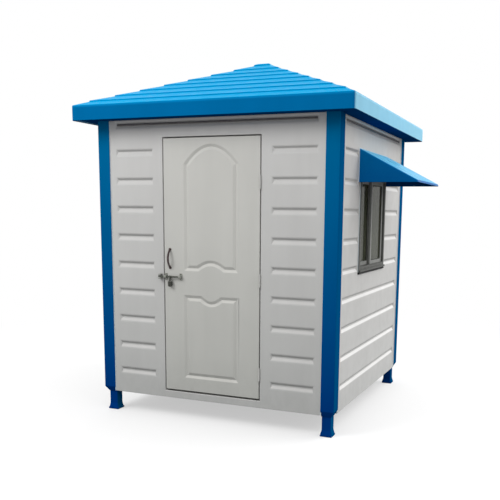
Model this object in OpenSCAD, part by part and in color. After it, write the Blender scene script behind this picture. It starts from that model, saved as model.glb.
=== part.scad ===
// Security guard booth: four corner posts on feet, grooved wall panels with an outward
// opening panelled door, a sliding window under an awning, and a lapped hip roof.
// Millimetres. Z is up, the door faces -Y and the window wall faces +X.

/* [Booth] */
// Width over the corner posts
booth_w = 1830; // [1700:10:2200]
// Depth over the corner posts
booth_d = 1830; // [1700:10:2200]
// Ground to the underside of the walls
leg_h = 150; // [110:5:220]
// Height of the wall panels
wall_h = 1980; // [1940:10:2200]
// Thickness of the wall panels
wall_t = 50; // [46:1:64]
// Square size of a corner post
post_w = 96; // [84:1:130]
// Drop of the posts below the wall panels
post_drop = 12; // [4:1:30]
// Set-back of the wall faces behind the post faces
wall_recess = 8; // [4:1:14]
// Radius of the outer edge of a post
post_edge_r = 8; // [3:1:16]
// Thickness of the floor panel
floor_t = 50; // [40:1:56]

/* [Feet] */
// Square size of a leg
leg_w = 66; // [50:1:76]
// Square size of the foot under a leg
foot_w = 85; // [78:1:100]
// Height of the flare from foot to leg
foot_flare_h = 30; // [15:1:50]
// Thickness of the flat foot
foot_t = 14; // [8:1:24]
// Distance of a leg from the middle of its post, towards the middle of the booth
leg_set_in = 12; // [8:1:15]
// Height of the taper at the bottom of a post
post_taper_h = 43; // [20:1:80]

/* [Wall grooves] */
// Number of groove rows below the top row
groove_rows = 9; // [5:1:9]
// Height of one groove row over the next
groove_pitch = 198; // [150:1:200]
// Top edge of the lowest row above the wall bottom
groove_first = 194; // [160:1:230]
// Top edge of the top row below the wall top
groove_top_gap = 14; // [10:1:60]
// Height of the steep upper side of a groove
groove_upper = 15; // [8:1:30]
// Height of the flat bottom of a groove
groove_flat = 8; // [4:1:20]
// Height of the sloping lower side of a groove
groove_lower = 23; // [14:1:40]
// Length of the slope at the end of a groove
groove_end = 12; // [6:1:24]
// Depth of a groove
groove_depth = 12; // [6:1:18]
// Distance from a post to the end of a groove
groove_margin = 52; // [40:1:80]
// Distance from the doorway to the end of a groove
groove_door_gap = 77; // [50:1:110]
// Distance from window or awning to the end of a groove
groove_window_gap = 10; // [8:1:40]

/* [Door] */
// Width of the doorway
doorway_w = 755; // [700:5:900]
// Doorway centre to the left of the wall centre
doorway_left = 8; // [0:1:40]
// Height of the doorway above the floor
doorway_h = 1805; // [1700:5:1850]
// Running gap round the door leaf
door_gap = 8; // [6:0.5:9]
// Gap under the door leaf
door_bottom_gap = 14; // [8:1:20]
// Thickness of the door leaf
leaf_t = 40; // [32:1:42]
// Width of the panel mouldings
moulding_w = 40; // [30:1:50]
// Depth of the panel mouldings
moulding_depth = 9; // [4:0.5:12]
// Half width of the upper panel
upper_half_w = 190; // [160:1:240]
// Bottom edge of the upper panel above the floor
upper_bottom = 904; // [880:1:940]
// Top corners of the upper panel above the floor
upper_corner = 1614; // [1500:1:1620]
// Rise of the arch over the upper panel
upper_arch = 120; // [60:1:125]
// Rise of the bulge in the bottom edge of the upper panel
upper_bulge = 40; // [20:1:60]
// Half width of that bulge
bulge_half_w = 104; // [90:1:140]
// Half width of the lower panel
lower_half_w = 195; // [160:1:240]
// Bottom edge of the lower panel above the floor
lower_bottom = 130; // [90:1:160]
// Top corners of the lower panel above the floor
lower_corner = 692; // [640:1:720]
// Depth of the dip in the top edge of the lower panel
lower_dip = 36; // [20:1:60]
// Half width of that dip
dip_half_w = 82; // [74:1:140]
// Reach of the door stops into the doorway
stop_reach = 16; // [12:1:22]
// Reach of the door stops over the wall
stop_hold = 26; // [16:1:40]
// Thickness of the door stops
stop_t = 16; // [10:1:24]

/* [Door hardware] */
// Height of one hinge
hinge_h = 90; // [60:1:120]
// Radius of the hinge barrels
barrel_r = 5.5; // [4.8:0.1:6]
// Radius of the hinge pins
pin_r = 2.5; // [2:0.1:3]
// Distance between the feet of the pull handle
handle_span = 130; // [110:1:170]
// Standing out of the pull handle
handle_out = 40; // [34:1:55]
// Radius of the handle bar
handle_r = 7; // [4.5:0.1:7.5]
// Middle of the pull handle above the floor
handle_mid = 967; // [940:1:1010]
// Height of the slide bolt above the floor
bolt_z = 839; // [790:1:860]
// Radius of the slide bolt
bolt_r = 6; // [5:0.1:7]
// Travel of the slide bolt
bolt_travel = 48; // [44:1:52]
// Width of the padlock body
padlock_w = 30; // [26:1:34]
// Height of the padlock body
padlock_h = 38; // [30:1:60]

/* [Window and awning] */
// Width of the window
window_w = 710; // [600:5:800]
// Height of the window
window_h = 690; // [600:5:720]
// Underside of the window above the wall bottom
window_z = 936; // [880:2:980]
// Window centre in front of the wall centre
window_forward = 55; // [0:5:90]
// Width of the window frame bars
frame_w = 30; // [24:1:40]
// Standing out of the window frame
frame_out = 10; // [6:1:16]
// Standing out of the window sill
sill_out = 20; // [17:1:40]
// Height of the window sill
sill_h = 14; // [8:1:22]
// Width of the sash bars
sash_w = 34; // [26:1:44]
// Thickness of a sash
sash_t = 18; // [14:1:19]
// Thickness of the glass
glass_t = 5; // [4:0.5:6]
// Width of the awning
awning_w = 796; // [760:4:880]
// Reach of the awning from the post faces
awning_reach = 405; // [300:5:500]
// Height of the awning at the wall
awning_h = 230; // [160:2:260]
// Overlap of the awning over the top of the window
awning_cover = 62; // [20:2:90]
// Thickness of the awning
awning_t = 6; // [5:0.5:9]

/* [Roof] */
// Overhang of the eaves past the posts
eave_overhang = 129; // [90:1:180]
// Height of the fascia
fascia_h = 92; // [64:1:120]
// Thickness of the fascia
fascia_t = 22; // [16:1:26]
// Drop of the fascia below the soffit
fascia_drop = 8; // [4:1:16]
// Thickness of the soffit
soffit_t = 12; // [8:1:20]
// Radius of the eave corners in plan
eave_corner_r = 24; // [8:1:40]
// Height of the rounded nose from the fascia up to the first course
eave_nose_h = 14; // [6:1:30]
// Set-back of the first course behind the fascia
eave_nose_in = 8; // [4:1:24]
// Rise of the roof from eave to apex
roof_rise = 422; // [380:2:560]
// Number of lapped courses on each slope
roof_courses = 8; // [5:1:10]
// Length of the first course as a share of the others
first_course = 0.65; // [0.4:0.05:1]
// Step from one course to the next
roof_lap = 8; // [4:1:16]
// Thickness of the roof under the laps
roof_t = 14; // [12:1:20]
// Depth of the opening that the apex cap closes
cap_w = 118; // [100:2:240]
// Reach of the apex cap over the slopes
cap_lip = 10; // [6:1:20]
// Height of the apex cap
cap_h = 24; // [16:1:48]

/* [Hidden] */
$fn = 64;
eps = 1;

// Levels
wall_z0 = leg_h;
wall_z1 = leg_h + wall_h;
floor_z = leg_h + floor_t;
doorway_top = floor_z + doorway_h;
post_z0 = wall_z0 - post_drop;
fascia_z0 = wall_z1 - fascia_drop;
fascia_z1 = fascia_z0 + fascia_h;

// Plan lines, measured from the middle of the booth
half_w = booth_w / 2;
half_d = booth_d / 2;
face_x = half_w - wall_recess;
face_y = half_d - wall_recess;
inner_x = face_x - wall_t;
inner_y = face_y - wall_t;
post_in_x = half_w - post_w;
post_in_y = half_d - post_w;
eave_x = half_w + eave_overhang;
eave_y = half_d + eave_overhang;
plan_shift = (eave_overhang - max(awning_reach, eave_overhang)) / 2;

// Feet
leg_in = post_w / 2 + leg_set_in;
post_taper = leg_in - leg_w / 2;

// Grooves
groove_h = groove_upper + groove_flat + groove_lower;
groove_top_z = wall_z1 - groove_top_gap;

// Door and hinges, measured from the middle of the doorway
leaf_x = doorway_w / 2 - door_gap;
leaf_z0 = floor_z + door_bottom_gap;
leaf_z1 = doorway_top - door_gap;
hinge_x = doorway_w / 2 - door_gap / 2;
barrel_clear = 0.5;
hinge_y = -face_y - barrel_r - barrel_clear;
hinge_plate_t = door_gap / 3;
hinge_plate_w = 28;
hinge_fit = 0.06;
hinge_play = 0.4;
hinge_low = 175;
hinge_high = 300;
hinge_mid_drop = 65;
hinge_zs = [leaf_z0 + hinge_low, (leaf_z0 + leaf_z1) / 2 - hinge_mid_drop, leaf_z1 - hinge_high];

// Slide bolt, guides, keeper and padlock
bolt_height = floor_z + bolt_z;
bolt_out = 17;
bolt_y = -face_y - bolt_out;
bolt_back = 6;
bolt_left = bolt_back - leaf_x - bolt_travel;
bolt_fit = 0.3;
guide_w = 20;
guide_wall = 4;
guide_plate_h = 48;
guide_edge = 2;
guide_a = guide_edge + guide_w / 2 - leaf_x;
lug_in = 53;
lug_x = lug_in - leaf_x;
lug_room = 21;
guide_b = lug_x + bolt_travel + lug_room + guide_w / 2;
bolt_right = guide_b + guide_edge;
lug_t = 5;
lug_half_w = 10;
lug_drop = 30;
eye_r = 5.5;
eye_drop = 17;
eye_z = bolt_height - eye_drop;
shackle_r = 3.2;
shackle_bend = 9;
shackle_hang = 0.6;
shackle_leg = 5.5;
shackle_z = eye_z - eye_r + shackle_r + shackle_hang - shackle_bend;
padlock_top = shackle_z - shackle_leg;
padlock_t = 16;
padlock_r = 12;
padlock_top_r = 4;
keeper_w = 22;
keeper_x = bolt_left + guide_edge + keeper_w / 2;
keeper_lip = 7;
keeper_room = 5;
keeper_out = 4;

// Pull handle
handle_in = 46;
handle_x = handle_in - leaf_x;
handle_z = floor_z + handle_mid;
handle_sink = 6;
handle_foot_t = 4;
handle_foot_r = 10;
handle_rise = handle_out - handle_r;
handle_bend = handle_span * handle_span / (8 * handle_rise) + handle_rise / 2;

// Window, measured in depth from the outer face of the wall
window_y = -window_forward;
window_z0 = wall_z0 + window_z;
window_z1 = window_z0 + window_h;
frame_back = 4;
track_out = 5;
track_gap = 4;
rib_clear = 0.5;
sash_lap = 34;
glass_hold = 8;
rib_h = 8;
pane_h = window_h - 2 * frame_w;
pane_half = window_w / 2 - frame_w;

// Awning
awning_z0 = window_z1 - awning_cover;
awning_z1 = awning_z0 + awning_h;
awning_len = awning_reach + wall_recess;
awning_lip = 14;
awning_flange_h = 40;

// Roof, with places on a slope as shares of its run from the middle of the booth
cap_share = cap_w / 2 / (eave_y - eave_nose_in);
lip_share = cap_lip / (eave_y - eave_nose_in);

// Places the middle of the booth so that the whole object is centred on the origin
module set_out() translate([plan_shift, 0, 0]) children();

// A block given by its two opposite corners
module block(a, b) translate(a) cube(b - a);

// A solid between two upright rectangles [x0, x1, z0, z1], one at depth ya, one at depth yb
module loft(ra, ya, rb, yb) polyhedron(
    points = [[ra[0], ya, ra[2]], [ra[1], ya, ra[2]], [ra[1], ya, ra[3]], [ra[0], ya, ra[3]],
              [rb[0], yb, rb[2]], [rb[1], yb, rb[2]], [rb[1], yb, rb[3]], [rb[0], yb, rb[3]]],
    faces = [[3, 2, 1, 0], [4, 5, 6, 7], [0, 1, 5, 4], [1, 2, 6, 5], [2, 3, 7, 6], [3, 0, 4, 7]]);

// A shallow groove in a face lying in the plane y = 0 and looking to -Y
module groove(x0, x1, top) {
    grow = eps / groove_depth;
    loft([x0 - groove_end * grow, x1 + groove_end * grow,
          top - groove_h - groove_lower * grow, top + groove_upper * grow], -eps,
         [x0 + groove_end, x1 - groove_end, top - groove_h + groove_lower, top - groove_upper], groove_depth);
}

// Rows of grooves from x0 to x1, with rows that meet a break [c, half, z0, z1] cut in two
module groove_run(x0, x1, top, breaks) {
    hits = [for (b = breaks) if (top > b[2] && top - groove_h < b[3]) b];
    if (len(hits) == 0) groove(x0, x1, top);
    else {
        reach = max([for (b = hits) b[1]]) + groove_window_gap;
        groove(x0, hits[0][0] - reach, top);
        groove(hits[0][0] + reach, x1, top);
    }
}

module groove_field(half, breaks) {
    for (k = [0 : groove_rows - 1])
        groove_run(-half, half, wall_z0 + groove_first + k * groove_pitch, breaks);
    groove_run(-half, half, groove_top_z, breaks);
}

// A full wall panel with its face in the plane y = 0, from -half to half
module wall_panel(half, breaks) difference() {
    block([-half, 0, wall_z0], [half, wall_t, wall_z1]);
    groove_field(half - groove_margin, breaks);
}

// Turns a panel drawn at the front so that it stands at the right, the back or the left
module at_right(x) translate([x, 0, 0]) rotate(90) children();
module at_back(y) translate([0, y, 0]) rotate(180) children();
module at_left(x) translate([-x, 0, 0]) rotate(-90) children();

// Corner posts and legs, drawn for the front left corner and mirrored
module corner(side, end) mirror([side > 0 ? 1 : 0, 0, 0]) mirror([0, end > 0 ? 1 : 0, 0]) children();

module post() color([0.01, 0.25, 0.5]) difference() {
    translate([-half_w, -half_d, post_z0]) linear_extrude(wall_z1 - post_z0) union() {
        translate([post_edge_r, 0]) square([post_w - post_edge_r, post_w]);
        translate([0, post_edge_r]) square([post_w, post_w - post_edge_r]);
        translate([post_edge_r, post_edge_r]) circle(post_edge_r);
    }
    post_taper_cut();
    mirror([half_w, -half_d, 0]) translate([half_d - half_w, half_d - half_w, 0]) post_taper_cut();
}

// The wedge taken off the outer face at the bottom of the front left post
module post_taper_cut() translate([-half_w - eps, -half_d, post_z0]) rotate([90, 0, 90])
    linear_extrude(post_w + 2 * eps) polygon([[-eps, -eps],
        [post_taper + eps * post_taper / post_taper_h, -eps],
        [-eps, post_taper_h + eps * post_taper_h / post_taper]]);

module leg() color([0.02, 0.19, 0.44]) {
    translate([leg_in - half_w, leg_in - half_d, 0]) {
        block([-foot_w / 2, -foot_w / 2, 0], [foot_w / 2, foot_w / 2, foot_t]);
        rotate([90, 0, 0]) translate([0, 0, -leg_w / 2]) linear_extrude(leg_w)
            polygon([[-foot_w / 2, foot_t], [foot_w / 2, foot_t], [leg_w / 2, foot_t + foot_flare_h],
                     [leg_w / 2, post_z0], [-leg_w / 2, post_z0], [-leg_w / 2, foot_t + foot_flare_h]]);
        rotate([90, 0, 90]) translate([0, 0, -leg_w / 2]) linear_extrude(leg_w)
            polygon([[-foot_w / 2, foot_t], [foot_w / 2, foot_t], [leg_w / 2, foot_t + foot_flare_h],
                     [-leg_w / 2, foot_t + foot_flare_h]]);
    }
}

module floor_panel() color([0.5, 0.5, 0.5]) translate([0, 0, wall_z0]) linear_extrude(floor_t)
    polygon([[-inner_x, -post_in_y], [-post_in_x, -post_in_y], [-post_in_x, -inner_y],
             [post_in_x, -inner_y], [post_in_x, -post_in_y], [inner_x, -post_in_y],
             [inner_x, post_in_y], [post_in_x, post_in_y], [post_in_x, inner_y],
             [-post_in_x, inner_y], [-post_in_x, post_in_y], [-inner_x, post_in_y]]);

// Moves what belongs to the doorway to its place in the front wall
module in_doorway() translate([-doorway_left, 0, 0]) children();

// Front wall in four pieces round the doorway, with its near side at distance edge from the middle
module front_side(edge) color([0.72, 0.72, 0.71]) difference() {
    block([-post_in_x, -face_y, wall_z0], [-edge, -inner_y, wall_z1]);
    translate([0, -face_y, 0]) {
        for (k = [0 : groove_rows - 1])
            groove(groove_margin - post_in_x, -edge - groove_door_gap,
                   wall_z0 + groove_first + k * groove_pitch);
        groove(groove_margin - post_in_x, post_in_x - groove_margin, groove_top_z);
    }
}

module front_wall_head() color([0.72, 0.72, 0.71]) difference() {
    in_doorway() block([-doorway_w / 2, -face_y, doorway_top], [doorway_w / 2, -inner_y, wall_z1]);
    translate([0, -face_y, 0]) groove(groove_margin - post_in_x, post_in_x - groove_margin, groove_top_z);
}

module door_sill() color([0.66, 0.66, 0.65])
    in_doorway() block([-doorway_w / 2, -face_y, wall_z0], [doorway_w / 2, -inner_y, floor_z]);

module left_wall() color([0.72, 0.72, 0.71]) at_left(face_x) wall_panel(post_in_y, []);

module back_wall() color([0.72, 0.72, 0.71]) at_back(face_y) wall_panel(post_in_x, []);

module right_wall() color([0.7, 0.7, 0.69]) at_right(face_x) difference() {
    wall_panel(post_in_y, [[window_y, window_w / 2, window_z0, window_z1],
                           [window_y, awning_w / 2, awning_z0, awning_z1]]);
    block([window_y - window_w / 2, -eps, window_z0], [window_y + window_w / 2, wall_t + eps, window_z1]);
}

// Stop boards on the inside of the doorway
module door_stop_jambs() color([0.66, 0.66, 0.65]) in_doorway() for (side = [0, 1]) mirror([side, 0, 0])
    block([-doorway_w / 2 - stop_hold, -inner_y, floor_z],
          [stop_reach - doorway_w / 2, stop_t - inner_y, doorway_top - stop_reach]);

module door_stop_head() color([0.66, 0.66, 0.65]) in_doorway()
    block([-doorway_w / 2 - stop_hold, -inner_y, doorway_top - stop_reach],
          [doorway_w / 2 + stop_hold, stop_t - inner_y, doorway_top + stop_hold]);

// Outlines of the two door panels, listed anticlockwise as seen from the front
curve_steps = 14;
swell_power = 1.1;
// Shares from -1 to 1 across a curve, with its ends left out
curve_shares = [for (i = [1 : curve_steps - 1]) 2 * i / curve_steps - 1];
function swell(share, power) = pow(1 - share * share, power);
upper_path = concat(
    [[-upper_half_w, floor_z + upper_bottom], [-bulge_half_w, floor_z + upper_bottom]],
    [for (s = curve_shares) [bulge_half_w * s, floor_z + upper_bottom + upper_bulge * swell(s, swell_power)]],
    [[bulge_half_w, floor_z + upper_bottom], [upper_half_w, floor_z + upper_bottom],
     [upper_half_w, floor_z + upper_corner]],
    [for (s = curve_shares) [-upper_half_w * s, floor_z + upper_corner + upper_arch * swell(s, 1)]],
    [[-upper_half_w, floor_z + upper_corner]]);
lower_path = concat(
    [[-lower_half_w, floor_z + lower_bottom], [lower_half_w, floor_z + lower_bottom],
     [lower_half_w, floor_z + lower_corner], [dip_half_w, floor_z + lower_corner]],
    [for (s = curve_shares) [-dip_half_w * s, floor_z + lower_corner - lower_dip * swell(s, swell_power)]],
    [[-dip_half_w, floor_z + lower_corner], [-lower_half_w, floor_z + lower_corner]]);

function unit(v) = v / norm(v);
function left_of(v) = [-v[1], v[0]];
// Sideways step at point i of a closed path that keeps both neighbouring edges at distance 1
function mitre(path, i) =
    let (n = len(path), a = left_of(unit(path[i] - path[(i + n - 1) % n])),
         b = left_of(unit(path[(i + 1) % n] - path[i])), s = unit(a + b))
    s / (s * a);

// A V groove that follows a closed path, cut into the plane y = 0 from -Y
module moulding(path) {
    n = len(path);
    half = moulding_w / 2 * (1 + eps / moulding_depth);
    outer = [for (i = [0 : n - 1]) let (p = path[i] - half * mitre(path, i)) [p[0], -eps, p[1]]];
    inner = [for (i = [0 : n - 1]) let (p = path[i] + half * mitre(path, i)) [p[0], -eps, p[1]]];
    deep = [for (i = [0 : n - 1]) [path[i][0], moulding_depth, path[i][1]]];
    polyhedron(points = concat(outer, deep, inner), faces = [for (i = [0 : n - 1]) let (j = (i + 1) % n)
        each [[n + j, n + i, i], [j, n + j, i],
              [2 * n + j, 2 * n + i, n + i], [n + j, 2 * n + j, n + i],
              [j, i, 2 * n + i], [2 * n + j, j, 2 * n + i]]]);
}

module door_leaf() color([0.73, 0.73, 0.71]) in_doorway() difference() {
    block([-leaf_x, -face_y, leaf_z0], [leaf_x, -face_y + leaf_t, leaf_z1]);
    translate([0, -face_y, 0]) {
        moulding(upper_path);
        moulding(lower_path);
    }
    translate([0, -face_y + leaf_t, 0]) rotate(180) {
        moulding(upper_path);
        moulding(lower_path);
    }
}

// Hinges: plates in the gap beside the leaf, barrels in front of the face
module door_hinge_fixed() color([0.7, 0.7, 0.7]) in_doorway() for (z = hinge_zs) {
    third = hinge_h / 3;
    translate([hinge_x, hinge_y, z - hinge_h / 2]) {
        block([door_gap / 2 - hinge_plate_t, barrel_r + barrel_clear, 0],
              [door_gap / 2, barrel_r + hinge_plate_w, hinge_h]);
        for (h = [0, 2 * third]) translate([0, 0, h]) {
            cylinder(r = barrel_r, h = third);
            block([door_gap / 2 - hinge_plate_t, 0, 0], [door_gap / 2, barrel_r + eps, third]);
        }
        cylinder(r = pin_r, h = hinge_h);
    }
}

module door_hinge_moving() color([0.7, 0.7, 0.7]) in_doorway() for (z = hinge_zs) {
    third = hinge_h / 3;
    translate([hinge_x, hinge_y, z - hinge_h / 2]) difference() {
        union() {
            block([-door_gap / 2, barrel_r + barrel_clear, 0],
                  [hinge_plate_t - door_gap / 2, barrel_r + hinge_plate_w, hinge_h]);
            translate([0, 0, third + hinge_play]) {
                cylinder(r = barrel_r, h = third - 2 * hinge_play);
                block([-door_gap / 2, 0, 0],
                      [hinge_plate_t - door_gap / 2, barrel_r + eps, third - 2 * hinge_play]);
            }
        }
        translate([0, 0, third]) cylinder(r = pin_r + hinge_fit, h = third);
    }
}

// Bowed pull handle with small round feet on the door
module pull_handle() color([0.28, 0.2, 0.2]) in_doorway() translate([handle_x, -face_y, handle_z]) {
    half_angle = asin(handle_span / 2 / handle_bend);
    difference() {
        translate([0, handle_bend - handle_rise, 0]) rotate([0, 90, 0])
            rotate([0, 0, -90 - half_angle - handle_sink]) rotate_extrude(angle = 2 * (half_angle + handle_sink))
                translate([handle_bend, 0]) circle(handle_r);
        block([-handle_span, 0, -handle_span], [handle_span, handle_span, handle_span]);
    }
    for (s = [-1, 1]) translate([0, 0, s * handle_span / 2]) rotate([90, 0, 0])
        cylinder(r = handle_foot_r, h = handle_foot_t);
}

// Slide bolt with the lug for the padlock
module slide_bolt() color([0.42, 0.42, 0.42]) in_doorway() difference() {
    union() {
        translate([bolt_left, bolt_y, bolt_height]) rotate([0, 90, 0])
            cylinder(r = bolt_r, h = bolt_right - bolt_left);
        block([lug_x - lug_t / 2, bolt_y - lug_half_w, bolt_height - lug_drop],
              [lug_x + lug_t / 2, bolt_y + lug_half_w, bolt_height + bolt_r]);
    }
    translate([lug_x - lug_t, bolt_y, eye_z]) rotate([0, 90, 0]) cylinder(r = eye_r, h = 2 * lug_t);
}

module bolt_guides() color([0.45, 0.45, 0.45]) in_doorway() for (x = [guide_a, guide_b])
    translate([x, 0, bolt_height]) difference() {
        outer_r = bolt_r + guide_wall;
        union() {
            block([-guide_w / 2, -face_y - guide_wall, -guide_plate_h / 2],
                  [guide_w / 2, -face_y, guide_plate_h / 2]);
            block([-guide_w / 2, bolt_y, -outer_r], [guide_w / 2, eps - face_y - guide_wall, outer_r]);
            translate([-guide_w / 2, bolt_y, 0]) rotate([0, 90, 0]) cylinder(r = outer_r, h = guide_w);
        }
        translate([-guide_w, bolt_y, 0]) rotate([0, 90, 0]) cylinder(r = bolt_r + bolt_fit, h = 2 * guide_w);
    }

// Keeper on the wall: a lip above and a lip below the end of the bolt
module bolt_keeper() color([0.45, 0.45, 0.45]) in_doorway() for (s = [-1, 1])
    translate([keeper_x, 0, bolt_height + s * (bolt_r + keeper_room + keeper_lip / 2)])
        block([-keeper_w / 2, bolt_y - bolt_r - keeper_out, -keeper_lip / 2],
              [keeper_w / 2, -face_y, keeper_lip / 2]);

module padlock_body() color([0.3, 0.28, 0.27]) in_doorway()
    translate([lug_x, bolt_y + padlock_t / 2, padlock_top - padlock_h]) rotate([90, 0, 0])
        linear_extrude(padlock_t) union() {
            low_x = padlock_w / 2 - padlock_r;
            top_x = padlock_w / 2 - padlock_top_r;
            translate([-padlock_w / 2, padlock_r])
                square([padlock_w, padlock_h - padlock_r - padlock_top_r]);
            translate([-low_x, 0]) square([2 * low_x, padlock_h / 2]);
            translate([-top_x, padlock_h / 2]) square([2 * top_x, padlock_h / 2]);
            for (s = [-1, 1]) {
                translate([s * low_x, padlock_r]) circle(padlock_r);
                translate([s * top_x, padlock_h - padlock_top_r]) circle(padlock_top_r);
            }
        }

module padlock_shackle() color([0.6, 0.6, 0.6]) in_doorway() translate([lug_x, bolt_y, shackle_z]) {
    rotate([90, 0, 0]) rotate_extrude(angle = 180) translate([shackle_bend, 0]) circle(shackle_r);
    for (s = [-1, 1]) translate([s * shackle_bend, 0, -shackle_leg]) cylinder(r = shackle_r, h = shackle_leg);
}

// Window parts are drawn in the wall plane: x along the wall, y inward from the outer face
module in_window() at_right(face_x) translate([window_y, 0, window_z0]) children();

// An upright ring of bars
module ring(half, h, bar, y0, y1) difference() {
    block([-half, y0, 0], [half, y1, h]);
    block([bar - half, y0 - eps, bar], [half - bar, y1 + eps, h - bar]);
}

module window_frame() color([0.62, 0.62, 0.62]) in_window() {
    ring(window_w / 2, window_h, frame_w, -frame_out, wall_t + frame_back);
    block([-window_w / 2, -sill_out, 0], [window_w / 2, eps - frame_out, sill_h]);
    rib_y = track_out + sash_t;
    for (z = [frame_w, window_h - frame_w - rib_h]) {
        block([-pane_half, rib_y + rib_clear, z], [pane_half, rib_y + track_gap - rib_clear, z + rib_h]);
        block([-pane_half, -frame_out, z], [pane_half, track_out - rib_clear, z + rib_h]);
    }
}

// One sash from x0 to x1 with its outer side at depth y0, and the glass it holds
module sash(x0, x1, y0) translate([(x0 + x1) / 2, 0, frame_w]) difference() {
    ring((x1 - x0) / 2, pane_h, sash_w, y0, y0 + sash_t);
    pane(x0, x1, y0);
}

module pane(x0, x1, y0) block(
    [(x0 - x1) / 2 + sash_w - glass_hold, y0 + (sash_t - glass_t) / 2, sash_w - glass_hold],
    [(x1 - x0) / 2 - sash_w + glass_hold, y0 + (sash_t + glass_t) / 2, pane_h - sash_w + glass_hold]);

sash_in_y = track_out + sash_t + track_gap;
meet_lap = sash_lap / 2;

module window_sash_front() color([0.6, 0.6, 0.6]) in_window() sash(-pane_half, meet_lap, sash_in_y);
module window_sash_rear() color([0.6, 0.6, 0.6]) in_window() sash(-meet_lap, pane_half, track_out);
module window_glass_front() color([0.25, 0.26, 0.24, 0.5]) in_window()
    translate([(meet_lap - pane_half) / 2, 0, frame_w]) pane(-pane_half, meet_lap, sash_in_y);
module window_glass_rear() color([0.25, 0.26, 0.24, 0.5]) in_window()
    translate([(pane_half - meet_lap) / 2, 0, frame_w]) pane(-meet_lap, pane_half, track_out);

// Awning: a sloping hood with closed cheeks, open below and towards the window
module awning() color([0.05, 0.38, 0.62]) translate([face_x, window_y, 0]) {
    fall = (awning_h - awning_lip) / awning_len;
    drop = awning_t * norm([1, fall]);
    difference() {
        translate([0, awning_w / 2, 0]) rotate([90, 0, 0]) linear_extrude(awning_w)
            polygon([[0, awning_z0], [awning_len, awning_z0],
                     [awning_len, awning_z0 + awning_lip], [0, awning_z1]]);
        translate([0, awning_w / 2 - awning_t, 0]) rotate([90, 0, 0]) linear_extrude(awning_w - 2 * awning_t)
            polygon([[awning_t, awning_z0 - eps], [awning_len - awning_t, awning_z0 - eps],
                     [awning_len - awning_t, awning_z0 + awning_lip - drop + awning_t * fall],
                     [awning_t, awning_z1 - drop - awning_t * fall]]);
        block([-eps, awning_t - awning_w / 2, awning_z0 - eps],
              [awning_t + eps, awning_w / 2 - awning_t, awning_z1 - awning_flange_h]);
    }
}

// The plan of the eaves with rounded corners, as an upright block from z0 to z1
module eave_plan(half_len, run, z0, z1) translate([0, 0, z0]) linear_extrude(z1 - z0) union() {
    in_x = half_len - eave_corner_r;
    in_y = run - eave_corner_r;
    translate([-in_x, -run]) square([2 * in_x, 2 * run]);
    translate([-half_len, -in_y]) square([2 * half_len, 2 * in_y]);
    for (x = [-in_x, in_x], y = [-in_y, in_y]) translate([x, y]) circle(eave_corner_r);
}

// Eaves: fascia and soffit of one side, drawn at the front with mitred ends
module eave(half_len, run, inset) {
    deep = run - inset;
    intersection() {
        eave_plan(half_len, run, fascia_z0 - eps, fascia_z1 + eps);
        translate([-half_len, 0, 0]) rotate([90, 0, 90]) linear_extrude(2 * half_len)
            polygon([[-run, fascia_z0], [fascia_t - run, fascia_z0], [fascia_t - run, wall_z1],
                     [-inset, wall_z1], [-inset, wall_z1 + soffit_t], [fascia_t - run, wall_z1 + soffit_t],
                     [fascia_t - run, fascia_z1], [-run, fascia_z1]]);
        translate([0, 0, fascia_z0 - eps]) linear_extrude(fascia_h + 2 * eps)
            polygon([[-half_len, -run], [half_len, -run],
                     [half_len - deep, -inset], [deep - half_len, -inset]]);
    }
}

module eave_front() color([0.02, 0.4, 0.63]) eave(eave_x, eave_y, post_in_y);
module eave_right() color([0.02, 0.4, 0.63]) at_right(0) eave(eave_y, eave_x, post_in_x);
module eave_back() color([0.02, 0.4, 0.63]) at_back(0) eave(eave_x, eave_y, post_in_y);
module eave_left() color([0.02, 0.4, 0.63]) at_left(0) eave(eave_y, eave_x, post_in_x);

// Height of the roof at share s of the way from the apex to the first course
function roof_z(s) = fascia_z1 + eave_nose_h + (1 - s) * (roof_rise - eave_nose_h);
function course(i) =
    i == 0 ? 1 : 1 - (i - 1 + first_course) * (1 - cap_share) / (roof_courses - 1 + first_course);

// One slope: a nose over the fascia and lapped courses, mitred along the hips, drawn at the front
module roof_slope(half_len, run) intersection() {
    first_x = half_len - eave_nose_in;
    first_y = run - eave_nose_in;
    eave_plan(half_len, run, fascia_z1 - eps, fascia_z1 + roof_rise + eps);
    translate([-half_len, 0, 0]) rotate([90, 0, 90]) linear_extrude(2 * half_len) polygon(concat(
        [[-run, fascia_z1]],
        [for (i = [0 : roof_courses - 1]) each [
            [-first_y * course(i), roof_z(course(i)) + (i == 0 ? 0 : roof_lap)],
            [-first_y * (course(i + 1) + (i == roof_courses - 1 ? lip_share : 0)), roof_z(course(i + 1))]]],
        [[-first_y * cap_share, roof_z(cap_share)], [-first_y * cap_share, roof_z(cap_share) - roof_t],
         [-first_y * (1 - roof_t / roof_rise), fascia_z1]]));
    translate([0, 0, fascia_z1 - eps]) linear_extrude(roof_rise)
        polygon([[-first_x * cap_share, -first_y * cap_share], [-first_x, -first_y], [-half_len, -run],
                 [half_len, -run], [first_x, -first_y], [first_x * cap_share, -first_y * cap_share]]);
}

module roof_front() color([0.15, 0.66, 0.88]) roof_slope(eave_x, eave_y);
module roof_right() color([0.15, 0.66, 0.88]) at_right(0) roof_slope(eave_y, eave_x);
module roof_back() color([0.15, 0.66, 0.88]) at_back(0) roof_slope(eave_x, eave_y);
module roof_left() color([0.15, 0.66, 0.88]) at_left(0) roof_slope(eave_y, eave_x);

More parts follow.
